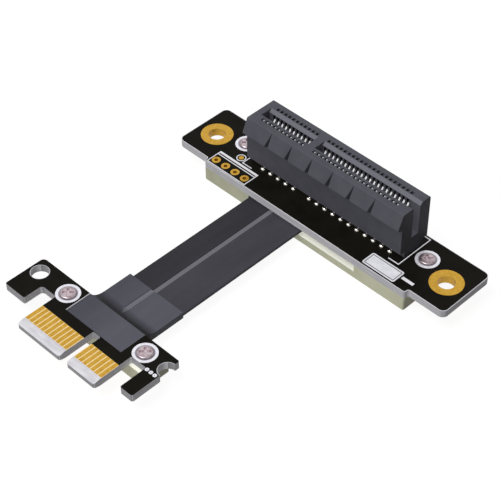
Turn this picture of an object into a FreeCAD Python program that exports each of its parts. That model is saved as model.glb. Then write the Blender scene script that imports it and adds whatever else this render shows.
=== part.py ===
import FreeCAD, Part
import math
import os

# Sizes are in millimetres. X runs along the slot, Y from the plug to the socket, Z up.
# The origin is under the middle of the part, on the surface that it lies on.

V = FreeCAD.Vector
same_point = 1e-6

# Boards and covers
board_thickness = 1.6
mask_thickness = 0.03
mask_setback = 0.12
cover_height = 3.0
overall_depth = 66.4
plating = 0.05
ink = 0.04

# Socket board
socket_depth = 14.0
ear_setback = 1.0
ear_length = 8.15
socket_corner_radius = 1.2
tab_corner_radius = 0.4

# Plated mounting holes in the ears
mount_from_end = 4.425
mount_from_rear = 6.95
mount_bore = 3.3
mount_ring = 6.4

# Cover screws, the same at both ends
screw_head_diameter = 3.1
screw_head_height = 0.4
screw_head_round = 0.3
screw_shank_diameter = 1.9
screw_length = 3.9
screw_pad_diameter = 4.6
screw_pad_gap = 0.22
screw_hole_clearance = 0.15
screw_thread_clearance = 0.03
recess_arm_length = 2.0
recess_arm_width = 0.5
recess_depth = 0.3
recess_turn = 45
socket_screw_gap = 1.0
socket_screw_from_tab_end = 2.45
socket_screw_from_rear = 4.85

# Header holes and the lone pad
header_hole_count = 4
header_pitch = 2.54
header_from_left = 9.75
header_from_front = 1.6
header_bore = 0.8
header_ring = 1.75
test_pad_from_left = 12.75
test_pad_from_front = 5.4
test_pad_diameter = 1.0

# Slot connector
slot_offset_x = 0.15
pin_pitch = 1.0
pin_count_before_key = 11
pin_count_after_key = 21
key_pitch = 3.0
key_rib_width = 1.65
slot_from_rear = 4.95
slot_width = 1.8
slot_floor_height = 3.9
slot_closed_margin = 1.3
lead_in_front = 0.35
lead_in_rear = 0.6
housing_height = 11.0
housing_closed_margin = 2.7
housing_open_margin = 2.85
housing_rear_reach = 3.7
housing_front_reach = 3.6
housing_ramp_reach = 4.9
housing_wall_reach = 3.7
housing_core_reach = 2.45
ramp_bottom_height = 8.0
step_height = 7.3
rebate_height = 1.5
housing_edge_radius = 0.25
housing_rear_radius = 0.4
notch_count = 6
notch_pitch = 5.1
notch_first_offset = 3.4
notch_width = 0.9
notch_depth = 0.9

# Slot contacts and their cavities
contact_width = 0.32
contact_thickness = 0.18
cavity_width = 0.62
cavity_reach = 2.4
cavity_floor_height = 4.2
cavity_roof = 0.7
window_inner_reach = 1.65
contact_reach = 2.05
contact_apex_reach = 0.7
contact_apex_height = 8.4
contact_bend_height = 6.4
contact_tip_below_top = 0.25
contact_tip_reach = 1.86
contact_shoulder_reach = 1.86
contact_shoulder_height = 10.05
tail_outer_reach = 3.1
tail_inner_reach = 1.1
tail_jog_height = 0.3
tail_inner_jog_height = 3.0
tail_below_board = 0.8
tail_hole_diameter = 0.7
solder_dome_radius = 0.5
solder_foot_radius = 0.55
solder_foot_height = 0.45

# Socket cover
socket_cover_rear_setback = 0.2
cover_wall = 1.0
cover_floor = 1.0
cover_corner_radius = 0.35
cover_inner_radius = 1.0
channel_clearance = 0.05
channel_floor = 1.5
boss_diameter = 4.2
ring_relief_depth = 0.3
ring_relief_clearance = 0.15

# Plug board
plug_centre_x = -6.75
plug_left_reach = 19.77
plug_right_reach = 15.65
plug_corner_radius = 0.9
wing_right_reach = 14.6
wing_front_setback = 4.6
wing_notch_depth = 8.75
wing_notch_radius = 0.75
plug_bore = 3.45
plug_bore_from_rear = 2.8
plug_bore_from_left = 2.22
cutout_width = 14.2
cutout_depth = 5.6
first_pad_reach = 10.37
pad_count_before_key = 11
pad_count_after_key = 7
pad_width = 0.75
pad_length = 3.95
pad_from_front = 1.75
tongue_margin = 0.47
tongue_corner_radius = 0.45
tongue_bevel_length = 1.3
tongue_bevel_height = 0.3
key_slot_width = 1.9
key_slot_depth = 7.8
key_web = 0.1
hook_width = 2.95
hook_gap_depth = 8.55
hook_front_setback = 2.65
hook_corner_radius = 0.45
small_radius = 0.3
plug_screw_from_left = 9.92
plug_screw_from_right = 5.5
via_count = 3
via_pitch = 0.96
via_from_right = 2.51
via_from_rear = 5.13
via_bore = 0.2
via_ring = 0.78

# Plug cover
plug_cover_from_left = 7.82
plug_cover_from_right = 2.7
plug_cover_depth = 5.7
plug_cover_front_wall = 0.8

# Ribbon
ribbon_width = 13.3
ribbon_offset = 0.1
ribbon_thickness = 0.65
ribbon_centre_height = 2.33
ribbon_edge_radius = 0.2
ribbon_tail_inside_socket = 1.7
ribbon_tail_inside_boot = 1.2
groove_width = 1.0
groove_depth = 0.14
groove_offset = 0.85
conductor_count_left = 7
conductor_count_right = 10
conductor_pitch = 0.66
conductor_width = 0.34
conductor_thickness = 0.12
conductor_lift_run = 0.8
wire_pad_length = 1.5
wire_pad_width = 0.44

# Boot at the plug
sleeve_wall_left = 0.3
sleeve_wall_right = 0.2
sleeve_thickness = 1.45
sleeve_length = 9.05
sleeve_rise = 0.25
sleeve_edge_radius = 0.12
block_clearance = 0.05
block_overhang = 0.13
block_below_top = 0.2
boot_slope_run = 1.11
boot_fillet = 3.75
wire_end_below_top = 0.95
wire_rise_run = 2.4
wire_rise_setback = 1.1

# Print on the socket board
line_width = 0.2
header_box_left_margin = 1.2
header_box_right_margin = 1.31
header_box_depth = 3.87
header_box_gap = 0.08
header_box_rear_line = 0.5
header_box_second_line = 0.82
slot_mark_gap = 0.3
slot_mark_rear_gap = 0.75
slot_mark_return = 2.3
bar_from_right = 8.2
bar_length = 2.65
bar_width = 0.65
bar_from_front = 2.5
label_from_right = 11.2
label_length = 7.5
label_width = 3.25
label_from_front = 0.45
label_radius = 0.4
test_mark_diameter = 1.95
test_mark_width = 0.2

# Derived places
board_bottom = cover_height
board_top = cover_height + board_thickness
socket_rear = overall_depth / 2
socket_front = socket_rear - socket_depth
plug_front = -overall_depth / 2
key_end = plug_front + key_slot_depth
cutout_front = key_end + key_web
plug_rear = cutout_front + cutout_depth
mount_y = socket_rear - mount_from_rear
socket_screw_y = socket_rear - socket_screw_from_rear
plug_screw_y = plug_rear - plug_bore_from_rear
slot_y = socket_rear - slot_from_rear
slot_half = slot_width / 2
pin_span = (pin_count_before_key + pin_count_after_key - 2) * pin_pitch + key_pitch
first_pin_x = slot_offset_x - pin_span / 2
housing_left = first_pin_x - housing_closed_margin
housing_right = first_pin_x + pin_span + housing_open_margin
housing_top = board_top + housing_height
key_x = first_pin_x + (pin_count_before_key - 1) * pin_pitch + key_pitch / 2
socket_screw_x = housing_right + socket_screw_gap + screw_pad_diameter / 2
tab_half = socket_screw_x + socket_screw_from_tab_end
socket_right = tab_half + ear_length
socket_left = -socket_right
header_first_x = socket_left + header_from_left
test_pad_x = socket_left + test_pad_from_left
plug_left = plug_centre_x - plug_left_reach
plug_right = plug_centre_x + plug_right_reach
ribbon_bottom = ribbon_centre_height - ribbon_thickness / 2
ribbon_top = ribbon_centre_height + ribbon_thickness / 2
ribbon_left = plug_centre_x + ribbon_offset - ribbon_width / 2
ribbon_right = ribbon_left + ribbon_width
groove_x = plug_centre_x - groove_offset
ribbon_socket_end = socket_front + ribbon_tail_inside_socket
ribbon_boot_end = plug_rear - ribbon_tail_inside_boot
sleeve_end = plug_rear + sleeve_length
sleeve_bottom = ribbon_centre_height + sleeve_rise - sleeve_thickness / 2
sleeve_top = sleeve_bottom + sleeve_thickness
block_top = board_top - block_below_top
block_rear = plug_rear + block_overhang
boot_slope = math.atan2(block_top - sleeve_top, boot_slope_run)
boot_curve_end = block_rear + boot_slope_run + boot_fillet * math.tan(boot_slope / 2)
first_pad_x = plug_centre_x - first_pad_reach
last_pad_x = first_pad_x + (pad_count_before_key + pad_count_after_key - 2) * pin_pitch + key_pitch
tongue_key_x = first_pad_x + (pad_count_before_key - 1) * pin_pitch + key_pitch / 2
tongue_left = first_pad_x - tongue_margin
tongue_right = last_pad_x + tongue_margin
hook_left = plug_right - hook_width
hook_gap_end = plug_front + hook_gap_depth


def save(shape, name):
    shape.exportStep(os.path.join("parts", name + ".step"))
    print(name, len(shape.Solids), "solids", round(shape.Volume, 3), "mm3")


def group(shapes):
    return Part.makeCompound(list(shapes))


def box(x0, x1, y0, y1, z0, z1):
    return Part.makeBox(x1 - x0, y1 - y0, z1 - z0, V(x0, y0, z0))


def cylinder(x, y, z0, z1, diameter):
    return Part.makeCylinder(diameter / 2, z1 - z0, V(x, y, z0))


def tube(x, y, z0, z1, outer, inner):
    return cylinder(x, y, z0, z1, outer).cut(cylinder(x, y, z0, z1, inner))


def corner_arc(before, corner, after, radius):
    """Tangent points and middle of the arc that rounds one corner of an outline."""
    to_before = (before - corner).normalize()
    to_after = (after - corner).normalize()
    half_angle = to_before.getAngle(to_after) / 2
    reach = radius / math.tan(half_angle)
    bisector = (to_before + to_after).normalize()
    centre = corner + bisector * (radius / math.sin(half_angle))
    middle = centre - bisector * radius
    return corner + to_before * reach, middle, corner + to_after * reach


def rounded_face(corners):
    """Face from (point, radius) corners, with each radius above zero as a tangent arc."""
    edges = []
    ends = []
    count = len(corners)
    for i, (point, radius) in enumerate(corners):
        if radius > 0:
            before = corners[i - 1][0]
            after = corners[(i + 1) % count][0]
            start, middle, end = corner_arc(before, point, after, radius)
            ends.append((start, end, Part.Arc(start, middle, end).toShape()))
        else:
            ends.append((point, point, None))
    for i in range(count):
        if ends[i][2] is not None:
            edges.append(ends[i][2])
        start = ends[i][1]
        end = ends[(i + 1) % count][0]
        if start.distanceToPoint(end) > same_point:
            edges.append(Part.LineSegment(start, end).toShape())
    return Part.Face(Part.Wire(edges))


def plate(corners, z0, z1):
    """Flat plate from (x, y, radius) corners."""
    face = rounded_face([(V(x, y, z0), r) for x, y, r in corners])
    return face.extrude(V(0, 0, z1 - z0))


def slab(corners, x0, x1):
    """Solid from a (y, z, radius) side outline, pulled along X."""
    face = rounded_face([(V(x0, y, z), r) for y, z, r in corners])
    return face.extrude(V(x1 - x0, 0, 0))


def rectangle(x0, x1, y0, y1, radius):
    return [(x0, y0, radius), (x1, y0, radius), (x1, y1, radius), (x0, y1, radius)]


def bent_strip(points, thickness, x, width):
    """Flat strip that follows (y, z) points, with mitred bends, centred on x."""
    upper = []
    lower = []
    count = len(points)
    for i in range(count):
        normals = []
        for j in (i - 1, i):
            if 0 <= j < count - 1:
                dy = points[j + 1][0] - points[j][0]
                dz = points[j + 1][1] - points[j][1]
                length = math.hypot(dy, dz)
                normals.append((-dz / length, dy / length))
        ny = sum(n[0] for n in normals) / len(normals)
        nz = sum(n[1] for n in normals) / len(normals)
        scale = thickness / 2 / (ny * ny + nz * nz)
        upper.append((points[i][0] + ny * scale, points[i][1] + nz * scale, 0))
        lower.append((points[i][0] - ny * scale, points[i][1] - nz * scale, 0))
    return slab(upper + lower[::-1], x - width / 2, x + width / 2)


def pin_places():
    """X of each slot pin, and whether its tail is in the outer row."""
    for n in range(pin_count_before_key + pin_count_after_key):
        extra = key_pitch - pin_pitch if n >= pin_count_before_key else 0
        yield first_pin_x + n * pin_pitch + extra, n % 2 == 1


def pad_places():
    """X of each card-edge pad."""
    for n in range(pad_count_before_key + pad_count_after_key):
        extra = key_pitch - pin_pitch if n >= pad_count_before_key else 0
        yield first_pad_x + n * pin_pitch + extra


def conductor_places():
    """X of each conductor, in two rows beside the groove."""
    left_centre = (ribbon_left + groove_x - groove_width / 2) / 2
    right_centre = (ribbon_right + groove_x + groove_width / 2) / 2
    left_first = left_centre - (conductor_count_left - 1) * conductor_pitch / 2
    right_first = right_centre - (conductor_count_right - 1) * conductor_pitch / 2
    places = [left_first + n * conductor_pitch for n in range(conductor_count_left)]
    return places + [right_first + n * conductor_pitch for n in range(conductor_count_right)]


def header_places():
    y = socket_front + header_from_front
    return [(header_first_x + n * header_pitch, y) for n in range(header_hole_count)]


def pair_places(x, y):
    return [(-x, y), (x, y)]


socket_screws = pair_places(socket_screw_x, socket_screw_y)
plug_screws = [(plug_left + plug_screw_from_left, plug_screw_y),
               (plug_right - plug_screw_from_right, plug_screw_y)]
mounts = pair_places(socket_right - mount_from_end, mount_y)
via_places = [(plug_right - via_from_right + n * via_pitch, plug_rear - via_from_rear)
              for n in range(via_count)]
screw_hole = screw_shank_diameter + 2 * screw_hole_clearance


def tail_reach(outer):
    return tail_outer_reach if outer else tail_inner_reach


def board_blank(corners):
    """Board without holes, whose upper mask layer ends just short of its outline."""
    mask_bottom = board_top - mask_thickness
    core = plate(corners, board_bottom, mask_bottom)
    outline = rounded_face([(V(x, y, mask_bottom), r) for x, y, r in corners])
    layer = outline.makeOffset2D(-mask_setback)
    return core.fuse(layer.extrude(V(0, 0, mask_thickness)))


def socket_board():
    ear = socket_front + ear_setback
    tab = tab_half
    r = socket_corner_radius
    t = tab_corner_radius
    corners = [(socket_left, socket_rear, r), (socket_left, ear, r), (-tab, ear, t),
               (-tab, socket_front, t), (tab, socket_front, t), (tab, ear, t),
               (socket_right, ear, r), (socket_right, socket_rear, r)]
    board = board_blank(corners)
    holes = [cylinder(x, y, board_bottom, board_top, mount_bore + 2 * plating) for x, y in mounts]
    holes += [cylinder(x, y, board_bottom, board_top, screw_hole) for x, y in socket_screws]
    holes += [cylinder(x, y, board_bottom, board_top, header_bore + 2 * plating)
              for x, y in header_places()]
    for side in (-1, 1):
        for x, outer in pin_places():
            y = slot_y + side * tail_reach(outer)
            holes.append(cylinder(x, y, board_bottom, board_top, tail_hole_diameter))
    return board.cut(group(holes))


def plated_hole(x, y, bore, ring):
    """Barrel through the board with a flat ring on each face."""
    barrel = tube(x, y, board_bottom, board_top, bore + 2 * plating, bore)
    lower = tube(x, y, board_bottom - plating, board_bottom, ring, bore)
    upper = tube(x, y, board_top, board_top + plating, ring, bore)
    return barrel.fuse([lower, upper]).removeSplitter()


def slot_housing():
    front = slot_y - housing_front_reach
    outline = [(slot_y + housing_rear_reach, housing_top, housing_rear_radius),
               (front, housing_top, housing_edge_radius),
               (slot_y - housing_ramp_reach, board_top + ramp_bottom_height, 0),
               (slot_y - housing_wall_reach, board_top + step_height, 0),
               (slot_y - housing_wall_reach, board_top + rebate_height, 0),
               (slot_y - housing_core_reach, board_top + rebate_height, 0),
               (slot_y - housing_core_reach, board_top, 0),
               (slot_y + housing_core_reach, board_top, 0),
               (slot_y + housing_core_reach, board_top + rebate_height, 0),
               (slot_y + housing_rear_reach, board_top + rebate_height, 0)]
    body = slab(outline, housing_left, housing_right)
    cuts = slot_cuts() + [cavity(x, side, outer) for side in (-1, 1) for x, outer in pin_places()]
    cuts += [ramp_notch(n) for n in range(notch_count)]
    return body.cut(cuts)


def housing_pieces():
    """The moulding as simple pieces that meet face to face around the card slot."""
    body = slot_housing()
    span = housing_right - housing_left
    left = housing_left - span
    right = housing_right + span
    top = housing_top + span
    floor = board_top + slot_floor_height
    closed = first_pin_x - slot_closed_margin
    front = slot_y - slot_half
    rear = slot_y + slot_half
    rooms = {"slot_base": box(left, right, front - span, rear + span, board_top - span, floor),
             "slot_wall_front": box(left, right, front - span, front, floor, top),
             "slot_wall_rear": box(left, right, rear, rear + span, floor, top),
             "slot_closed_end": box(left, closed, front, rear, floor, top),
             "slot_key_rib": box(closed, right, front, rear, floor, top)}
    return [(name, body.common(room).removeSplitter()) for name, room in rooms.items()]


def slot_cuts():
    """The card slot on each side of the key rib, with a sloped lead-in."""
    floor = board_top + slot_floor_height
    spans = [(first_pin_x - slot_closed_margin, key_x - key_rib_width / 2),
             (key_x + key_rib_width / 2, housing_right)]
    front = slot_y - slot_half
    rear = slot_y + slot_half
    outline = [(front, floor, 0), (rear, floor, 0),
               (rear, housing_top - lead_in_rear, 0), (rear + lead_in_rear, housing_top, 0),
               (front - lead_in_front, housing_top, 0), (front, housing_top - lead_in_front, 0)]
    return [slab(outline, x0, x1) for x0, x1 in spans]


def side_box(x, width, side, reach0, reach1, z0, z1):
    """Box beside the slot, from one reach to another on one side of its centre."""
    y0, y1 = sorted((slot_y + side * reach0, slot_y + side * reach1))
    return box(x - width / 2, x + width / 2, y0, y1, z0, z1)


def cavity(x, side, outer):
    """Room for one contact: beside the slot, up to a window, down to the tail."""
    floor = board_top + cavity_floor_height
    roof = housing_top - cavity_roof
    chamber = side_box(x, cavity_width, side, slot_half, cavity_reach, floor, roof)
    window = side_box(x, cavity_width, side, window_inner_reach, cavity_reach, roof, housing_top)
    if outer:
        duct = side_box(x, cavity_width, side, window_inner_reach, housing_core_reach, board_top, floor)
    else:
        duct = side_box(x, cavity_width, side, tail_inner_reach - tail_hole_diameter / 2, cavity_reach,
                        board_top, floor)
    return chamber.fuse([window, duct])


def ramp_notch(n):
    """Wedge out of the front ramp, nothing at its top and widest at its foot."""
    x = first_pin_x + notch_first_offset + n * notch_pitch
    front = slot_y - housing_ramp_reach
    foot = board_top + ramp_bottom_height
    base = [V(x - notch_width / 2, front, foot), V(x + notch_width / 2, front, foot),
            V(x + notch_width / 2, front + notch_depth, foot)]
    top = V(x + notch_width / 2, slot_y - housing_front_reach, housing_top)
    below = [V(p.x, p.y, board_top + step_height) for p in base]
    wedge = wedge_between(base, top)
    foot_face = Part.Face(Part.makePolygon(below + below[:1]))
    prism = foot_face.extrude(V(0, 0, ramp_bottom_height - step_height))
    return wedge.fuse(prism)


def wedge_between(base, top):
    """Pyramid on a three-cornered base."""
    a, b, c = base
    faces = [Part.Face(Part.makePolygon(loop + loop[:1]))
             for loop in ([a, b, c], [a, b, top], [b, c, top], [c, a, top])]
    return Part.makeSolid(Part.makeShell(faces))


def slot_contact(x, side, outer):
    """One sprung contact: tail through the board, spring with its bend in the slot, free tip."""
    foot = board_bottom - tail_below_board
    reach = tail_reach(outer)
    if outer:
        jog = board_top + tail_jog_height
        path = [(reach, foot), (reach, jog), (contact_reach, jog)]
    else:
        jog = board_top + tail_inner_jog_height
        path = [(reach, foot), (reach, jog)]
    path += [(contact_reach, board_top + cavity_floor_height),
             (contact_reach, board_top + contact_bend_height),
             (contact_apex_reach, board_top + contact_apex_height),
             (contact_shoulder_reach, board_top + contact_shoulder_height),
             (contact_tip_reach, housing_top - contact_tip_below_top)]
    points = [(slot_y + side * u, z) for u, z in path]
    return bent_strip(points, contact_thickness, x, contact_width)


def slot_contacts(side):
    return group([slot_contact(x, side, outer) for x, outer in pin_places()])


def half_space(shape, height, side):
    """What is left of a shape above (side 1) or below (side -1) a height."""
    b = shape.BoundBox
    z0, z1 = sorted((height, b.ZMax if side > 0 else b.ZMin))
    return shape.common(box(b.XMin, b.XMax, b.YMin, b.YMax, z0, z1))


def solder_dome(x, y, contact):
    """Ball of solder on the board, round the jog of an outer tail."""
    ball = Part.makeSphere(solder_dome_radius, V(x, y, board_top))
    return half_space(ball, board_top, 1).cut(contact)


def solder_foot(x, y, contact):
    """Cone of solder round a tail under the board."""
    cone = Part.makeCone(solder_foot_radius, contact_width / 2, solder_foot_height,
                         V(x, y, board_bottom), V(0, 0, -1))
    return cone.cut(contact)


def slot_solder_joints():
    joints = []
    for side in (-1, 1):
        for x, outer in pin_places():
            contact = slot_contact(x, side, outer)
            y = slot_y + side * tail_reach(outer)
            joints.append(solder_foot(x, y, contact))
            if outer:
                joints.append(solder_dome(x, y, contact))
    return group(joints)


def pilot_holes(places):
    diameter = screw_shank_diameter + 2 * screw_thread_clearance
    foot = board_top - screw_length - screw_thread_clearance
    return [cylinder(x, y, foot, board_bottom, diameter) for x, y in places]


def ring_relief():
    """Recess in the rim of the socket cover, under the header rings."""
    places = header_places()
    reach = header_ring / 2 + ring_relief_clearance
    y = places[0][1]
    return box(places[0][0] - reach, places[-1][0] + reach, y - reach, y + reach,
               cover_height - ring_relief_depth, cover_height)


def socket_cover():
    tab = tab_half
    rear = socket_rear - socket_cover_rear_setback
    outer = rectangle(-tab, tab, socket_front, rear, cover_corner_radius)
    inner = rectangle(-tab + cover_wall, tab - cover_wall, socket_front + cover_wall, rear - cover_wall,
                      cover_inner_radius)
    tray = plate(outer, 0, cover_height).cut(plate(inner, cover_floor, cover_height))
    half = channel_clearance - ribbon_left
    channel = box(-half, half, socket_front, socket_front + cover_wall, channel_floor, cover_height)
    bosses = [cylinder(x, y, 0, cover_height, boss_diameter) for x, y in socket_screws]
    cuts = [ring_relief()] + pilot_holes(socket_screws)
    return tray.cut(channel).fuse(bosses).removeSplitter().cut(cuts)


def screw(x, y):
    """Low round-headed screw with a cross recess, seated on the board inside its tinned ring."""
    top = board_top + screw_head_height
    shank = cylinder(x, y, board_top - screw_length, board_top, screw_shank_diameter)
    head = cylinder(x, y, board_top, top, screw_head_diameter)
    rim = [e for e in head.Edges if e.BoundBox.ZMin > board_top + screw_head_height / 2 and e.Closed]
    head = head.makeFillet(screw_head_round, rim)
    arm = recess_arm_length / 2
    half = recess_arm_width / 2
    recess = box(x - arm, x + arm, y - half, y + half, top - recess_depth, top)
    recess = recess.fuse(box(x - half, x + half, y - arm, y + arm, top - recess_depth, top))
    recess.rotate(V(x, y, 0), V(0, 0, 1), recess_turn)
    return shank.fuse(head).cut(recess).removeSplitter()


def screw_pads(places):
    inner = screw_head_diameter + 2 * screw_pad_gap
    return group([tube(x, y, board_top, board_top + plating, screw_pad_diameter, inner)
                  for x, y in places])


def plug_screw_pads():
    """Rings of the plug board, of which one ends at the gap beside the hook."""
    gap = box(tongue_right, hook_left, plug_front, hook_gap_end, board_top, board_top + plating)
    return screw_pads(plug_screws).cut(gap)


def conductor_path():
    """Middle line of a conductor, from its pad under the socket board to the plug's cut-out."""
    pad_under = board_bottom - plating - conductor_thickness / 2
    start = ribbon_socket_end + conductor_lift_run
    wire_end = board_top - wire_end_below_top
    rise = ribbon_boot_end - wire_rise_setback
    return [(start + wire_pad_length, pad_under), (start, pad_under),
            (ribbon_socket_end, ribbon_centre_height), (rise, ribbon_centre_height),
            (rise - wire_rise_run, wire_end), (cutout_front + plating, wire_end)]


def conductor(x):
    return bent_strip(conductor_path(), conductor_thickness, x, conductor_width)


def jacket_body():
    """Flat jacket with a shallow groove on both faces."""
    corners = [(ribbon_left, ribbon_bottom), (ribbon_right, ribbon_bottom),
               (ribbon_right, ribbon_top), (ribbon_left, ribbon_top)]
    face = rounded_face([(V(x, ribbon_boot_end, z), ribbon_edge_radius) for x, z in corners])
    body = face.extrude(V(0, ribbon_socket_end - ribbon_boot_end, 0))
    x0 = groove_x - groove_width / 2
    x1 = groove_x + groove_width / 2
    grooves = [box(x0, x1, ribbon_boot_end, ribbon_socket_end, ribbon_top - groove_depth, ribbon_top),
               box(x0, x1, ribbon_boot_end, ribbon_socket_end, ribbon_bottom, ribbon_bottom + groove_depth)]
    return body.cut(grooves)


def ribbon_jacket():
    """The jacket with a bore for each conductor."""
    return jacket_body().cut([conductor(x) for x in conductor_places()])


def boot_sleeve():
    """Sleeve round the ribbon, with a hollow curve up to the block and soft outer edges."""
    outline = [(plug_rear, sleeve_bottom, 0), (sleeve_end, sleeve_bottom, 0), (sleeve_end, sleeve_top, 0),
               (block_rear + boot_slope_run, sleeve_top, boot_fillet), (block_rear, block_top, 0),
               (plug_rear, block_top, 0)]
    sleeve = slab(outline, ribbon_left - sleeve_wall_left, ribbon_right + sleeve_wall_right)
    soft = []
    for edge in sleeve.Edges:
        bounds = edge.BoundBox
        along = bounds.YLength > sleeve_length / 2 and bounds.XLength < sleeve_edge_radius
        if along or edge.Curve.TypeId == "Part::GeomCircle":
            soft.append(edge)
    return sleeve.makeFillet(sleeve_edge_radius, soft)


def cable_boot():
    """Strain relief: a block in the plug board's cut-out, and a sleeve on the ribbon."""
    half = cutout_width / 2 - block_clearance
    low_front = plug_rear - plug_cover_depth + plug_cover_front_wall + block_clearance
    front = cutout_front + plating
    outline = [(block_rear, block_top, 0), (front, block_top, 0), (front, board_bottom, 0),
               (low_front, board_bottom, 0), (low_front, channel_floor, 0),
               (plug_rear, channel_floor, 0), (plug_rear, sleeve_bottom, 0), (block_rear, sleeve_bottom, 0)]
    block = slab(outline, plug_centre_x - half, plug_centre_x + half)
    boot = block.fuse(boot_sleeve()).removeSplitter()
    x0 = groove_x - groove_width / 2
    x1 = groove_x + groove_width / 2
    groove = box(x0, x1, boot_curve_end, sleeve_end, sleeve_top - groove_depth, sleeve_top)
    return boot.cut(groove).cut(jacket_body()).cut([conductor(x) for x in conductor_places()])


def plug_outline():
    wing_right = plug_centre_x - wing_right_reach
    wing_front = plug_front + wing_front_setback
    notch_end = plug_front + wing_notch_depth
    key_left = tongue_key_x - key_slot_width / 2
    key_right = tongue_key_x + key_slot_width / 2
    hook_front = plug_front + hook_front_setback
    c = tongue_corner_radius
    r = small_radius
    return [(plug_left, plug_rear, plug_corner_radius), (plug_left, wing_front, r),
            (wing_right, wing_front, r), (wing_right, notch_end, wing_notch_radius),
            (tongue_left, notch_end, r), (tongue_left, plug_front, c), (key_left, plug_front, c),
            (key_left, key_end, r), (key_right, key_end, r),
            (key_right, plug_front, c), (tongue_right, plug_front, c),
            (tongue_right, hook_gap_end, r), (hook_left, hook_gap_end, r), (hook_left, hook_front, r),
            (plug_right, hook_front, hook_corner_radius), (plug_right, plug_rear, r)]


def tongue_bevels():
    """Long wedges that thin the tongue's front edge from above and below."""
    inner = plug_front + tongue_bevel_length
    upper = [(plug_front, board_top, 0), (inner, board_top, 0),
             (plug_front, board_top - tongue_bevel_height, 0)]
    lower = [(plug_front, board_bottom, 0), (inner, board_bottom, 0),
             (plug_front, board_bottom + tongue_bevel_height, 0)]
    return [slab(outline, tongue_left, tongue_right) for outline in (upper, lower)]


def plug_board():
    board = plate(plug_outline(), board_bottom, board_top)
    cut = cutout_width / 2
    cutout = box(plug_centre_x - cut, plug_centre_x + cut, cutout_front, plug_rear, board_bottom, board_top)
    holes = [cylinder(x, plug_screw_y, board_bottom, board_top, plug_bore)
             for x in (plug_left + plug_bore_from_left, plug_right)]
    holes += [cylinder(x, y, board_bottom, board_top, screw_hole) for x, y in plug_screws]
    holes += [cylinder(x, y, board_bottom, board_top, via_bore + 2 * plating) for x, y in via_places]
    return board.cut([cutout] + holes).cut(tongue_bevels())


def edge_contacts(z0):
    y0 = plug_front + pad_from_front
    half = pad_width / 2
    return group([box(x - half, x + half, y0, y0 + pad_length, z0, z0 + plating) for x in pad_places()])


def via(x, y):
    """Tinned barrel through the board with a flat ring on the upper face."""
    barrel = tube(x, y, board_bottom, board_top, via_bore + 2 * plating, via_bore)
    ring = tube(x, y, board_top, board_top + plating, via_ring, via_bore)
    return barrel.fuse(ring).removeSplitter()


def plug_cover():
    left = plug_left + plug_cover_from_left
    right = plug_right - plug_cover_from_right
    front = plug_rear - plug_cover_depth
    outer = rectangle(left, right, front, plug_rear, cover_corner_radius)
    cut = cutout_width / 2
    channel = box(plug_centre_x - cut, plug_centre_x + cut, front + plug_cover_front_wall, plug_rear,
                  channel_floor, cover_height)
    return plate(outer, 0, cover_height).cut(channel).cut(pilot_holes(plug_screws))


def socket_wire_pads():
    start = ribbon_socket_end + conductor_lift_run
    half = wire_pad_width / 2
    end = start + wire_pad_length
    return group([box(x - half, x + half, start, end, board_bottom - plating, board_bottom)
                  for x in conductor_places()])


def plug_wire_pads():
    half = wire_pad_width / 2
    middle = board_top - wire_end_below_top
    face = cutout_front + plating
    return group([box(x - half, x + half, cutout_front, face, middle - half, middle + half)
                  for x in conductor_places()])


def ink_box(x0, x1, y0, y1):
    return box(x0, x1, y0, y1, board_top, board_top + ink)


def header_marks():
    """Frame round the header holes, with a second line along its rear side."""
    w = line_width
    y0 = socket_front + mask_setback + header_box_gap
    y1 = y0 + header_box_depth
    x0 = header_first_x - header_box_left_margin
    x1 = header_places()[-1][0] + header_box_right_margin
    inside = ink_box(x0 + w, x1 - w, y0 + w, y1 - header_box_rear_line)
    outer = ink_box(x0, x1, y0, y1).cut(inside)
    second = y1 - header_box_second_line
    return outer.fuse(ink_box(x0 + w, x1 - w, second - w, second)).removeSplitter()


def slot_mark(end, side):
    """Line beside one end of the slot housing, turning in along its front and rear."""
    w = line_width
    edge = end + side * slot_mark_gap
    x0, x1 = sorted((edge, edge + side * w))
    r0, r1 = sorted((edge, edge - side * slot_mark_return))
    y0 = slot_y - housing_ramp_reach + slot_mark_gap
    y1 = slot_y + housing_rear_reach + slot_mark_rear_gap
    along = ink_box(x0, x1, y0, y1)
    return along.fuse([ink_box(r0, r1, y0, y0 + w), ink_box(r0, r1, y1 - w, y1)]).removeSplitter()


def test_pad_mark():
    """Ring round the lone pad."""
    y = socket_front + test_pad_from_front
    inner = test_mark_diameter - 2 * test_mark_width
    return tube(test_pad_x, y, board_top, board_top + ink, test_mark_diameter, inner)


def socket_silkscreen():
    y0 = socket_front + bar_from_front
    x1 = socket_right - bar_from_right
    bar = ink_box(x1 - bar_length, x1, y0 - bar_width / 2, y0 + bar_width / 2)
    ends = [slot_mark(housing_left, -1), slot_mark(housing_right, 1)]
    return group([header_marks(), test_pad_mark(), bar] + ends)


def socket_label_field():
    y0 = socket_front + label_from_front
    x1 = socket_right - label_from_right
    corners = rectangle(x1 - label_length, x1, y0, y0 + label_width, label_radius)
    return plate(corners, board_top, board_top + ink)


def test_pad():
    y = socket_front + test_pad_from_front
    return cylinder(test_pad_x, y, board_top, board_top + plating, test_pad_diameter)


os.makedirs("parts", exist_ok=True)

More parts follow.
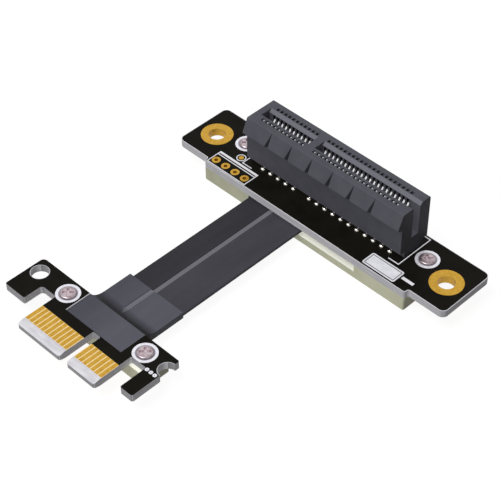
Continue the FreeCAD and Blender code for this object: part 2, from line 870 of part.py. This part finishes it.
save(socket_board(), "socket_board")
for name, (x, y) in zip(("mount_ring_left", "mount_ring_right"), mounts):
    save(plated_hole(x, y, mount_bore, mount_ring), name)
save(group([plated_hole(x, y, header_bore, header_ring) for x, y in header_places()]), "header_plating")
save(test_pad(), "test_pad")
for name, piece in housing_pieces():
    save(piece, name)
save(slot_contacts(-1), "slot_contacts_front")
save(slot_contacts(1), "slot_contacts_rear")
save(slot_solder_joints(), "slot_solder_joints")
save(socket_cover(), "socket_cover")
save(screw_pads(socket_screws), "socket_screw_pads")
for name, (x, y) in zip(("socket_screw_left", "socket_screw_right"), socket_screws):
    save(screw(x, y), name)
save(socket_wire_pads(), "socket_wire_pads")
save(socket_silkscreen(), "socket_silkscreen")
save(socket_label_field(), "socket_label_field")

save(ribbon_jacket(), "ribbon_jacket")
save(group([conductor(x) for x in conductor_places()]), "ribbon_conductors")
save(cable_boot(), "cable_boot")

save(plug_board(), "plug_board")
save(edge_contacts(board_top), "edge_contacts_top")
save(edge_contacts(board_bottom - plating), "edge_contacts_bottom")
save(plug_wire_pads(), "plug_wire_pads")
save(plug_cover(), "plug_cover")
save(plug_screw_pads(), "plug_screw_pads")
for name, (x, y) in zip(("plug_screw_left", "plug_screw_right"), plug_screws):
    save(screw(x, y), name)
save(group([via(x, y) for x, y in via_places]), "plug_vias")
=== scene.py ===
import math
import bpy
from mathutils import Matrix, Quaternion, Vector


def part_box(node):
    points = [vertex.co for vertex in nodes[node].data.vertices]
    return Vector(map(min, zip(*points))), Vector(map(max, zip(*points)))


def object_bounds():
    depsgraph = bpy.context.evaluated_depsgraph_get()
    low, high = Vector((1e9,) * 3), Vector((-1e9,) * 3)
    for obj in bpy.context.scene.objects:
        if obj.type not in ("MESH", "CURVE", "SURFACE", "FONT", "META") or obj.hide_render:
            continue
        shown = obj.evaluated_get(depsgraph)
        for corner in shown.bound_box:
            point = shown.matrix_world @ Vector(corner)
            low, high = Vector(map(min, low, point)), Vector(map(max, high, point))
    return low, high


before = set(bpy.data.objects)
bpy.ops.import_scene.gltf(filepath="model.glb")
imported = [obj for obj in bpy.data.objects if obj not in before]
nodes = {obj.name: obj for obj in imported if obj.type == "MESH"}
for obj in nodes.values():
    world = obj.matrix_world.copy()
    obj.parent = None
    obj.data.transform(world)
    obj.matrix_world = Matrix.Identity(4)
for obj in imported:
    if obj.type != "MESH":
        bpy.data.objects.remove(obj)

MM = 0.001
X, Y, Z = range(3)
cad_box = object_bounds()


def box_of(name):
    """Lowest and highest corner of a node, in millimetres."""
    return [[value / MM for value in corner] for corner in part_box(name)]


# Corners of the nodes that the colours follow
plug_low, plug_high = box_of("plug_board")
pads_low, pads_high = box_of("edge_contacts_top")
boot_low = box_of("cable_boot")[0]
jacket_high = box_of("ribbon_jacket")[1]
slot_low, slot_high = box_of("slot_closed_end")
base_high = box_of("slot_base")[1]
spring_high = box_of("slot_contacts_rear")[1]
cover_low, cover_high = box_of("socket_cover")
label_low, label_high = box_of("socket_label_field")

# Boards, in millimetres
board_bottom = plug_low[Z]
board_top = plug_high[Z]
mask_thickness = 0.03
bare_left_of_pads = 0.405
bare_right_of_pads = 0.445
bare_left = pads_low[X] - bare_left_of_pads
bare_right = pads_high[X] + bare_right_of_pads
bore_from_left = 2.22
bore_bare_radius = 1.8
# Reach of the grey painted round each screw as the shaded side of its head
screw_shade_reach = 1.85
boot_clearance = 0.05
cutout_left = boot_low[X] - boot_clearance
cutout_front = boot_low[Y] - boot_clearance
cutout_line = 0.13
label_line_inset = 0.3
label_line_width = 0.16

# Slot, in millimetres
slot_y = (slot_low[Y] + slot_high[Y]) / 2
lead_in_reach = 1.6
lead_in_depth = 0.8
lead_in_bottom = slot_high[Z] - lead_in_depth
end_wall_length = 2.0
end_wall_start = base_high[X] - end_wall_length
# Band of the contacts that carries a painted highlight, measured down from their top
contact_tip_length = 1.55
contact_highlight_length = 1.3
contact_highlight_top = spring_high[Z] - contact_tip_length
contact_highlight_bottom = contact_highlight_top - contact_highlight_length

# Stretch along which the covers' painted shade gets lighter, in millimetres
cover_dark_length = 4.25
cover_light_length = 7.25
cover_shade_left = cover_low[X] + cover_dark_length
cover_shade_right = cover_high[X] - cover_light_length

# Ribbon and boot, in millimetres
conductor_pitch = 0.66
groove_width = 1.0
groove_from_right = 7.6
groove_x = jacket_high[X] - groove_from_right
groove_right = groove_x + groove_width / 2
plug_rear = plug_high[Y]
stripe_behind_plug = 0.8
stripe_taper_length = 1.9
stripe_taper_start = plug_rear + stripe_behind_plug
stripe_taper_end = stripe_taper_start + stripe_taper_length
block_overhang = 0.13
block_rear = plug_rear + block_overhang
# Stretch behind the plug over which the painted shade in the boot's hollow fades out
hollow_behind_plug = 0.9
hollow_length = 2.2
hollow_start = plug_rear + hollow_behind_plug
hollow_end = hollow_start + hollow_length
# Stretch of the boot's painted shade towards the left
boot_dark_length = 0.8
boot_shade_length = 9.0
boot_shade_left = boot_low[X] + boot_dark_length
boot_shade_right = boot_shade_left + boot_shade_length

# Colours as a screen shows them from 0 to 255, in pairs where a surface is clouded
laminate_tones = (206, 205, 211), (230, 229, 233)
mask_tones = (18, 17, 14), (24, 23, 19)
pad_gap_tone = (250, 226, 172)
# Grey painted on the mask round each screw, as the shaded side of its head
screw_ring_shade_tone = (152, 148, 157)
gold_tones = (190, 144, 38), (210, 165, 60)
tin_tones = (228, 227, 236), (244, 243, 250)
solder_tones = (212, 206, 198), (240, 235, 226)
# Painted highlight along the contacts, painted light on the front row's tips and elsewhere, painted shade
# on the rear row's
contact_highlight_tones = (250, 250, 251), (255, 255, 255)
front_tip_light_tones = (206, 206, 210), (226, 226, 230)
rear_tip_shade_tones = (60, 60, 64), (76, 76, 80)
steel_tones = (178, 160, 166), (216, 202, 207)
copper_tones = (176, 98, 62), (206, 132, 92)
housing_tones = (80, 80, 88), (87, 87, 95)
# Painted light in the slot: on its lead-in, its inner faces that look right, and its rear wall at the
# open end
slot_light_tone = (112, 112, 121)
cover_tones = (214, 214, 186), (224, 224, 197)
# Painted light on the covers' faces that look up
cover_top_light_tone = (252, 252, 238)
jacket_tones = (58, 57, 64), (66, 65, 72)
jacket_stripe_tone = (112, 111, 118)
boot_tones = (82, 82, 92), (89, 89, 99)
boot_stripe_tone = (112, 111, 120)
ink_tones = (224, 224, 230), (240, 240, 244)
label_tones = (222, 222, 230), (238, 238, 243)
label_line_tone = (70, 70, 74)

# Factors of painted shade, under 1, and painted light, over 1, on a colour
# Painted shade on the boards' edges that look to the front, and painted light on the plug's edges that
# look right
socket_front_shade = 0.83
socket_right_shade = 1.0
plug_front_shade = 0.55
plug_right_shade = 1.25
# Painted shade on the housing's end faces and notches, which look right
housing_end_shade = 0.65
notch_shade = 0.5
# Painted shade along the covers, darkest at the left
cover_left_shade = 0.72
cover_right_shade = 0.92
# Painted shade on the ribbon and boot towards the left, and in the boot's hollow
jacket_left_shade = 0.54
boot_left_shade = 0.75
boot_hollow_shade = 0.1
screw_middle_shade = 0.95
screw_rim_shade = 0.55

# Share of a screw head's width where the painted shade on its rim starts and is darkest
screw_rim_start = 0.25
screw_rim_end = 0.47

# Part of a noise's range that is spread out
noise_low = 0.3
noise_high = 0.7

# Roughness of metal as factors of its mean, and of mouldings as a step each way
metal_polish_low = 0.85
metal_polish_high = 1.2
moulded_polish = 0.05

# Height of the conductors' ribs as a share of the jacket's grain
rib_share = 0.35

# Share of a normal along an axis, for faces that look that way and for sloped ones
facing_limit = 0.7
slope_low = 0.4
slope_high = 0.9

# View of the photograph: place and lens in millimetres, angles in degrees, reach in metres
camera_place = (145.54, -139.77, 206.74)
camera_azimuth = 44.927
camera_elevation = 44.133
camera_roll = -0.22
camera_lens = 115.788
camera_sensor = 36.0
camera_nearest = 0.01
camera_farthest = 10.0

# Studio: lengths in metres, but the floor's drop in millimetres
light_from = (-0.22, -0.42, 0.88)
light_distance = 0.6
light_size = 0.45
light_level = 0.28
fill_from = (-0.1, -0.5, 0.86)
fill_level = 0.62
ambient_level = 0.17
floor_half = 1.5
floor_drop = 0.02
floor_bounce = 0.22
floor_lit_share = 0.3
floor_glow = 0.76


def colour(tone):
    """Linear colour from the 0 to 255 values that it shows as on a screen."""
    def linear(value):
        share = value / 255
        return share / 12.92 if share <= 0.04045 else ((share + 0.055) / 1.055) ** 2.4
    return tuple(linear(value) for value in tone) + (1.0,)


class Surface:
    """A node material on one Principled shader, with helpers that add nodes to it."""

    def __init__(self, name, roughness, metallic=0.0, specular=0.5):
        self.material = bpy.data.materials.new(name)
        self.material.use_nodes = True
        self.tree = self.material.node_tree
        self.shader = self.tree.nodes["Principled BSDF"]
        self.shader.inputs["Metallic"].default_value = metallic
        self.shader.inputs["Roughness"].default_value = roughness
        self.shader.inputs["Specular IOR Level"].default_value = specular
        self.coordinates = self.tree.nodes.new("ShaderNodeTexCoord")

    def feed(self, socket, value):
        """Links a socket to another one, or sets its value."""
        if isinstance(value, bpy.types.NodeSocket):
            self.tree.links.new(value, socket)
        else:
            socket.default_value = value

    def split(self, vector):
        """A vector as its X, Y and Z."""
        node = self.tree.nodes.new("ShaderNodeSeparateXYZ")
        self.feed(node.inputs[0], vector)
        return node.outputs

    def scaled(self, value, factor):
        """A vector or colour times a factor."""
        node = self.tree.nodes.new("ShaderNodeVectorMath")
        node.operation = "SCALE"
        self.feed(node.inputs[0], value)
        self.feed(node.inputs["Scale"], factor)
        return node.outputs[0]

    def position(self):
        """Position in the part's frame, in millimetres."""
        return self.scaled(self.coordinates.outputs["Object"], 1 / MM)

    def place(self):
        """Position as X, Y and Z."""
        return self.split(self.position())

    def facing(self):
        """The way that the surface looks, as X, Y and Z."""
        return self.split(self.coordinates.outputs["Normal"])

    def looks(self, axis, sign=1):
        """1 on faces that look along an axis, or against it."""
        return self.above(self.math("MULTIPLY", self.facing()[axis], sign), facing_limit)

    def level(self):
        """1 on faces that look up or down, 0 on the edges."""
        return self.above(self.math("ABSOLUTE", self.facing()["Z"]), facing_limit)

    def math(self, operation, first, second=0.0):
        """Result of a sum or function of one or two values."""
        node = self.tree.nodes.new("ShaderNodeMath")
        node.operation = operation
        self.feed(node.inputs[0], first)
        self.feed(node.inputs[1], second)
        return node.outputs[0]

    def above(self, value, limit):
        """1 where a value is over a limit."""
        return self.math("GREATER_THAN", value, limit)

    def below(self, value, limit):
        """1 where a value is under a limit."""
        return self.math("LESS_THAN", value, limit)

    def all_of(self, first, *others):
        """1 where all of the given masks are 1."""
        for other in others:
            first = self.math("MULTIPLY", first, other)
        return first

    def between(self, value, low, high, soft=0.03):
        """1 where a value lies between two limits, with soft ends."""
        node = self.tree.nodes.new("ShaderNodeMapRange")
        node.interpolation_type = "SMOOTHSTEP"
        middle = self.math("ABSOLUTE", self.math("SUBTRACT", value, (low + high) / 2))
        self.feed(node.inputs["Value"], middle)
        node.inputs["From Min"].default_value = (high - low) / 2 - soft
        node.inputs["From Max"].default_value = (high - low) / 2 + soft
        node.inputs["To Min"].default_value = 1.0
        node.inputs["To Max"].default_value = 0.0
        return node.outputs["Result"]

    def ramp(self, value, start, end, low, high):
        """Goes evenly from a low to a high level between two places."""
        node = self.tree.nodes.new("ShaderNodeMapRange")
        self.feed(node.inputs["Value"], value)
        node.inputs["From Min"].default_value = start
        node.inputs["From Max"].default_value = end
        node.inputs["To Min"].default_value = low
        node.inputs["To Max"].default_value = high
        return node.outputs["Result"]

    def distance(self, *offsets):
        """Length of a flat vector."""
        squares = [self.math("POWER", offset, 2.0) for offset in offsets]
        return self.math("SQRT", self.math("ADD", *squares))

    def near(self, place, centre, radius):
        """1 within a radius of an upright axis."""
        offsets = [self.math("SUBTRACT", place[axis], middle) for axis, middle in zip("XY", centre)]
        return self.below(self.distance(*offsets), radius)

    def noise(self, size, detail=3.0, stretch=(1, 1, 1)):
        """Noise with features of a size in millimetres, stretched along the axes."""
        mapping = self.tree.nodes.new("ShaderNodeMapping")
        self.feed(mapping.inputs["Vector"], self.position())
        mapping.inputs["Scale"].default_value = [1 / (size * factor) for factor in stretch]
        node = self.tree.nodes.new("ShaderNodeTexNoise")
        self.feed(node.inputs["Vector"], mapping.outputs[0])
        node.inputs["Scale"].default_value = 1.0
        node.inputs["Detail"].default_value = detail
        return node.outputs["Fac"]

    def spread(self, noise, low=0.0, high=1.0):
        """Maps the middle of a noise onto a range."""
        return self.ramp(noise, noise_low, noise_high, low, high)

    def mix(self, factor, first, second):
        """Goes from one colour to another with a factor."""
        node = self.tree.nodes.new("ShaderNodeMix")
        node.data_type = "RGBA"
        self.feed(node.inputs[0], factor)
        self.feed(node.inputs[6], first)
        self.feed(node.inputs[7], second)
        return node.outputs[2]

    def clouded(self, tones, size, **noise):
        """A cloudy colour between two tones, with clouds of a size in millimetres."""
        dark, light = tones
        return self.mix(self.spread(self.noise(size, **noise)), colour(dark), colour(light))

    def base(self, value):
        """Sets the colour of the surface."""
        self.feed(self.shader.inputs["Base Color"], value)

    def polish(self, size, low, high):
        """Roughness that goes from one level to another in clouds."""
        self.feed(self.shader.inputs["Roughness"], self.spread(self.noise(size), low, high))

    def relief(self, height, depth):
        """Bumps of a depth in millimetres."""
        node = self.tree.nodes.new("ShaderNodeBump")
        node.inputs["Strength"].default_value = 1.0
        node.inputs["Distance"].default_value = depth * MM
        self.feed(node.inputs["Height"], height)
        self.feed(self.shader.inputs["Normal"], node.outputs[0])

    def grain(self, size, depth):
        """Fine grain of a size and depth in millimetres."""
        self.relief(self.noise(size, detail=2.0), depth)

    def on(self, *names):
        """Puts the material on CAD nodes."""
        for name in names:
            slots = nodes[name].data.materials
            slots.clear()
            slots.append(self.material)


def axis_of(name):
    """Middle of a node in X and Y, in millimetres."""
    low, high = box_of(name)
    return [(low[axis] + high[axis]) / 2 for axis in (X, Y)]


def plug_bare(surface, place):
    """1 where the plug's laminate is bare: on the tongues, beside the cut-out and round the bores."""
    across = surface.between(place["X"], bare_left, bare_right)
    tongues = surface.all_of(across, surface.below(place["Y"], pads_high[Y]))
    beside = surface.between(place["X"], cutout_left - cutout_line, cutout_left + cutout_line)
    cutout = surface.all_of(beside, surface.above(place["Y"], cutout_front))
    bare = surface.math("MAXIMUM", tongues, cutout)
    bore_y = axis_of("plug_screw_left")[Y]
    for bore_x in (plug_low[X] + bore_from_left, plug_high[X]):
        bore = surface.near(place, (bore_x, bore_y), bore_bare_radius)
        bare = surface.math("MAXIMUM", bare, bore)
    return bare


def board_surface(name, screws, front_shade, right_shade, bare=None):
    """Black mask on both faces and laminate on the edges and bare places, with a grey painted round each
    screw as the shaded side of its head, painted shade on laminate that looks to the front, and painted
    light on laminate that looks right where its factor is over 1.
    """
    surface = Surface(name, roughness=0.4, specular=0.03)
    place = surface.place()
    upper = surface.above(place["Z"], board_top - mask_thickness / 2)
    lower = surface.below(place["Z"], board_bottom + mask_thickness / 2)
    masked = surface.all_of(surface.level(), surface.math("ADD", upper, lower))
    core = surface.clouded(laminate_tones, size=0.5, detail=2.0, stretch=(6, 6, 0.35))
    if bare:
        masked = surface.math("MINIMUM", masked, surface.math("SUBTRACT", 1.0, bare(surface, place)))
        beside_pads = surface.between(place["Y"], pads_low[Y], pads_high[Y])
        core = surface.mix(surface.all_of(beside_pads, surface.level()), core, colour(pad_gap_tone))
    # Painted shade on laminate that looks to the front, and painted light on laminate that looks right
    core = surface.mix(surface.looks("Y", -1), core, surface.scaled(core, front_shade))
    core = surface.mix(surface.looks("X"), core, surface.scaled(core, right_shade))
    coated = surface.clouded(mask_tones, size=4.0)
    # Painted shade: a grey round each screw, standing in for the shaded side of its head
    for screw in screws:
        screw_ring = surface.near(place, axis_of(screw), screw_shade_reach)
        coated = surface.mix(screw_ring, coated, colour(screw_ring_shade_tone))
    surface.base(surface.mix(masked, core, coated))
    surface.polish(size=2.0, low=0.34, high=0.46)
    surface.grain(size=0.35, depth=0.004)
    return surface


def metal_surface(name, tones, roughness, cloud=0.6, metallic=1.0):
    """Plated metal with a cloudy tone and uneven polish."""
    surface = Surface(name, roughness, metallic)
    surface.base(surface.clouded(tones, size=cloud))
    surface.polish(cloud / 2, roughness * metal_polish_low, roughness * metal_polish_high)
    surface.grain(cloud / 4, depth=0.003)
    return surface


def contact_surface(name, tip_shading_tones):
    """Sprung contact with a painted highlight along its middle, and elsewhere the given tones, which are
    painted light on the front row and painted shade on the rear row.
    """
    surface = Surface(name, roughness=0.4, metallic=0.15)
    # Painted highlight in a band along the contact, painted light or shade elsewhere as the tones give
    highlight_band = surface.between(surface.place()["Z"], contact_highlight_bottom, contact_highlight_top)
    tip, highlighted = [surface.clouded(tones, size=0.4) for tones in (tip_shading_tones, contact_highlight_tones)]
    surface.base(surface.mix(highlight_band, tip, highlighted))
    surface.polish(size=0.2, low=0.34, high=0.48)
    surface.grain(size=0.1, depth=0.003)
    return surface


def screw_surface(name):
    """Plated steel with painted shade that darkens its head towards the rim."""
    surface = metal_surface(name, steel_tones, roughness=0.32)
    across = surface.split(surface.coordinates.outputs["Generated"])
    radius = surface.distance(*(surface.math("SUBTRACT", across[axis], 0.5) for axis in "XY"))
    shade = surface.ramp(radius, screw_rim_start, screw_rim_end, screw_middle_shade, screw_rim_shade)
    plain = surface.shader.inputs["Base Color"].links[0].from_socket
    surface.base(surface.scaled(plain, shade))
    return surface


def housing_shades(surface, body):
    """Painted shade on faces that look to the right, and painted light in the slot, on its lead-in and
    its end wall.
    """
    # Painted shade on faces that look right, painted light on the slot's inside, lead-in and end wall
    place = surface.place()
    painted_slot_light = colour(slot_light_tone)
    past_contacts = surface.above(place["X"], end_wall_start)
    in_slot = surface.between(place["Y"], slot_low[Y], slot_high[Y])
    inner = surface.mix(in_slot, surface.scaled(body, notch_shade), painted_slot_light)
    to_right = surface.mix(past_contacts, inner, surface.scaled(body, housing_end_shade))
    body = surface.mix(surface.looks("X"), body, to_right)
    over_slot = surface.between(place["Y"], slot_y - lead_in_reach, slot_y + lead_in_reach)
    sloped = surface.between(surface.facing()["Z"], slope_low, slope_high)
    on_slope = surface.all_of(over_slot, sloped, surface.above(place["Z"], lead_in_bottom))
    body = surface.mix(on_slope, body, painted_slot_light)
    rear_wall = surface.between(place["Y"], slot_y, slot_high[Y])
    return surface.mix(surface.all_of(rear_wall, past_contacts, surface.looks("Y", -1)), body, painted_slot_light)


def cover_shades(surface, body):
    """Painted shade that darkens towards the left, and painted light on faces that look up."""
    along = surface.place()["X"]
    shade = surface.ramp(along, cover_shade_left, cover_shade_right, cover_left_shade, cover_right_shade)
    return surface.mix(surface.looks("Z"), surface.scaled(body, shade), colour(cover_top_light_tone))


def moulded_surface(name, tones, roughness, specular, grain, depth, shades=None):
    """Moulded plastic or ink with a fine grain."""
    surface = Surface(name, roughness, specular=specular)
    body = surface.clouded(tones, size=3.0)
    surface.base(shades(surface, body) if shades else body)
    surface.polish(grain * 4, roughness - moulded_polish, roughness + moulded_polish)
    surface.grain(grain, depth)
    return surface


def striped_surface(name, tones, stripe_tone, left, hollow_shade=None):
    """Flexible jacket, with the conductors faintly showing and a pale stripe in the groove.

    It carries painted shade towards the left, and painted shade in the hollow behind the boot's block.
    """
    surface = Surface(name, roughness=0.55, specular=0.15)
    place = surface.place()
    width = surface.ramp(place["Y"], stripe_taper_start, stripe_taper_end, 0.0, groove_width)
    from_right = surface.math("SUBTRACT", groove_right, place["X"])
    in_stripe = surface.all_of(surface.above(from_right, 0.0), surface.below(from_right, width),
                               surface.above(surface.facing()["Z"], 0.0))
    start, end, darkest = left
    plain = surface.clouded(tones, size=3.0, stretch=(1, 5, 1))
    # Painted shade towards the left
    plain = surface.scaled(plain, surface.ramp(place["X"], start, end, darkest, 1.0))
    body = surface.mix(in_stripe, plain, colour(stripe_tone))
    # Painted shade in the hollow behind the boot's block
    if hollow_shade:
        shade = surface.ramp(place["Y"], hollow_start, hollow_end, hollow_shade, 1.0)
        body = surface.mix(surface.above(place["Y"], block_rear), body, surface.scaled(body, shade))
    surface.base(body)
    surface.polish(size=1.2, low=0.5, high=0.62)
    ribs = surface.math("SINE", surface.math("MULTIPLY", place["X"], 2 * math.pi / conductor_pitch))
    fine = surface.noise(size=0.25, detail=2.0)
    surface.relief(surface.math("ADD", surface.math("MULTIPLY", ribs, rib_share), fine), depth=0.012)
    return surface


def label_surface(name):
    """White printed field with a thin dark frame just inside its edge."""
    surface = Surface(name, roughness=0.5, specular=0.2)
    place = surface.place()
    within = []
    for inset in (label_line_inset, label_line_inset + label_line_width):
        spans = [surface.between(place[axis], low + inset, high - inset)
                 for axis, low, high in zip("XY", label_low, label_high)]
        within.append(surface.all_of(*spans))
    line = surface.math("SUBTRACT", within[0], within[1])
    surface.base(surface.mix(line, surface.clouded(label_tones, size=1.0), colour(label_line_tone)))
    surface.grain(size=0.2, depth=0.004)
    return surface


def paint_boards():
    """Boards and what is printed on them."""
    socket = board_surface("board_socket", ("socket_screw_left", "socket_screw_right"),
                           socket_front_shade, socket_right_shade)
    socket.on("socket_board")
    plug = board_surface("board_plug", ("plug_screw_left", "plug_screw_right"),
                         plug_front_shade, plug_right_shade, plug_bare)
    plug.on("plug_board")
    ink = moulded_surface("printed_ink", ink_tones, roughness=0.5, specular=0.2, grain=0.2, depth=0.004)
    ink.on("socket_silkscreen")
    label_surface("printed_field").on("socket_label_field")


def paint_metal():
    """Plating, contacts, solder, screws and conductors."""
    gold = metal_surface("gold_plating", gold_tones, roughness=0.34, metallic=0.6)
    gold.on("mount_ring_left", "mount_ring_right", "header_plating", "test_pad", "edge_contacts_top",
            "edge_contacts_bottom", "socket_wire_pads", "plug_wire_pads")
    tin = metal_surface("tinned", tin_tones, roughness=0.34, metallic=0.35)
    tin.on("socket_screw_pads", "plug_screw_pads", "plug_vias")
    metal_surface("solder", solder_tones, roughness=0.22, cloud=0.4).on("slot_solder_joints")
    contact_surface("contact_front", front_tip_light_tones).on("slot_contacts_front")
    contact_surface("contact_rear", rear_tip_shade_tones).on("slot_contacts_rear")
    steel = screw_surface("screw_steel")
    steel.on("socket_screw_left", "socket_screw_right", "plug_screw_left", "plug_screw_right")
    metal_surface("copper", copper_tones, roughness=0.35).on("ribbon_conductors")


def paint_plastic():
    """The slot's moulding, covers, ribbon and boot."""
    housing = moulded_surface("housing_plastic", housing_tones, roughness=0.55, specular=0.07, grain=0.12,
                              depth=0.006, shades=housing_shades)
    housing.on("slot_base", "slot_wall_front", "slot_wall_rear", "slot_closed_end", "slot_key_rib")
    cover = moulded_surface("cover_plastic", cover_tones, roughness=0.5, specular=0.2, grain=0.2,
                            depth=0.006, shades=cover_shades)
    cover.on("socket_cover", "plug_cover")
    jacket = striped_surface("ribbon_jacket", jacket_tones, jacket_stripe_tone,
                             left=(groove_x, groove_right, jacket_left_shade))
    jacket.on("ribbon_jacket")
    boot = striped_surface("boot_rubber", boot_tones, boot_stripe_tone,
                           left=(boot_shade_left, boot_shade_right, boot_left_shade),
                           hollow_shade=boot_hollow_shade)
    boot.on("cable_boot")


def seen_directly(tree):
    """1 for rays from the camera and for reflected and transmitted rays."""
    path = tree.nodes.new("ShaderNodeLightPath")
    total = path.outputs["Is Camera Ray"]
    for name in ("Is Glossy Ray", "Is Transmission Ray"):
        largest = tree.nodes.new("ShaderNodeMath")
        largest.operation = "MAXIMUM"
        tree.links.new(total, largest.inputs[0])
        tree.links.new(path.outputs[name], largest.inputs[1])
        total = largest.outputs[0]
    return total


def studio_world():
    """White where it is seen, and a faint even light on the object."""
    world = bpy.data.worlds.new("studio")
    bpy.context.scene.world = world
    world.use_nodes = True
    tree = world.node_tree
    background = tree.nodes["Background"]
    background.inputs["Color"].default_value = (1, 1, 1, 1)
    level = tree.nodes.new("ShaderNodeMapRange")
    tree.links.new(seen_directly(tree), level.inputs["Value"])
    level.inputs["To Min"].default_value = ambient_level
    level.inputs["To Max"].default_value = 1.0
    tree.links.new(level.outputs["Result"], background.inputs["Strength"])


def grey_diffuse(tree, level):
    """Diffuse shader of one grey."""
    shader = tree.nodes.new("ShaderNodeBsdfDiffuse")
    shader.inputs["Color"].default_value = (level, level, level, 1)
    return shader.outputs[0]


def floor_material():
    """White that keeps a soft shadow where it is seen, and gives little bounce."""
    material = bpy.data.materials.new("floor")
    material.use_nodes = True
    tree = material.node_tree
    tree.nodes.remove(tree.nodes["Principled BSDF"])
    glow = tree.nodes.new("ShaderNodeEmission")
    glow.inputs["Strength"].default_value = floor_glow
    shown = tree.nodes.new("ShaderNodeAddShader")
    tree.links.new(grey_diffuse(tree, floor_lit_share), shown.inputs[0])
    tree.links.new(glow.outputs[0], shown.inputs[1])
    choice = tree.nodes.new("ShaderNodeMixShader")
    tree.links.new(seen_directly(tree), choice.inputs[0])
    tree.links.new(grey_diffuse(tree, floor_bounce), choice.inputs[1])
    tree.links.new(shown.outputs[0], choice.inputs[2])
    tree.links.new(choice.outputs[0], tree.nodes["Material Output"].inputs["Surface"])
    return material


def studio_floor():
    """Sheet under the object."""
    corners = [(-floor_half, -floor_half, 0), (floor_half, -floor_half, 0),
               (floor_half, floor_half, 0), (-floor_half, floor_half, 0)]
    mesh = bpy.data.meshes.new("floor")
    mesh.from_pydata(corners, [], [(0, 1, 2, 3)])
    mesh.materials.append(floor_material())
    floor = bpy.data.objects.new("floor", mesh)
    floor.location.z = cad_box[0].z - floor_drop * MM
    bpy.context.scene.collection.objects.link(floor)


def aimed_lamp(lamp, towards):
    """Puts a lamp into the scene, shining from a direction."""
    holder = bpy.data.objects.new(lamp.name, lamp)
    holder.rotation_mode = "QUATERNION"
    holder.rotation_quaternion = towards.to_track_quat("Z", "Y")
    bpy.context.scene.collection.objects.link(holder)
    return holder


def studio_light():
    """One large soft lamp, high and to the front left, and a fill that casts no shadow."""
    soft = bpy.data.lights.new("softbox", "AREA")
    soft.shape = "DISK"
    soft.size = light_size
    soft.energy = light_level * math.pi ** 2 * light_distance ** 2
    towards = Vector(light_from).normalized()
    middle = (cad_box[0] + cad_box[1]) / 2
    softbox = aimed_lamp(soft, towards)
    softbox.location = middle + towards * light_distance
    even = bpy.data.lights.new("fill", "SUN")
    even.energy = fill_level * math.pi
    even.use_shadow = False
    aimed_lamp(even, Vector(fill_from).normalized())


def photo_camera():
    """Camera that sees the object as the photograph does."""
    data = bpy.data.cameras.new("camera")
    data.lens = camera_lens
    data.sensor_width = camera_sensor
    data.clip_start = camera_nearest
    data.clip_end = camera_farthest
    camera = bpy.data.objects.new("camera", data)
    azimuth = math.radians(camera_azimuth)
    elevation = math.radians(camera_elevation)
    outwards = math.cos(elevation)
    back = Vector((math.sin(azimuth) * outwards, -math.cos(azimuth) * outwards, math.sin(elevation)))
    camera.location = Vector(camera_place) * MM
    camera.rotation_mode = "QUATERNION"
    upright = (-back).to_track_quat("-Z", "Y")
    camera.rotation_quaternion = Quaternion(back, math.radians(camera_roll)) @ upright
    bpy.context.scene.collection.objects.link(camera)
    bpy.context.scene.camera = camera


paint_boards()
paint_metal()
paint_plastic()
studio_world()
studio_floor()
studio_light()
photo_camera()
bpy.context.scene.view_settings.view_transform = "Standard"
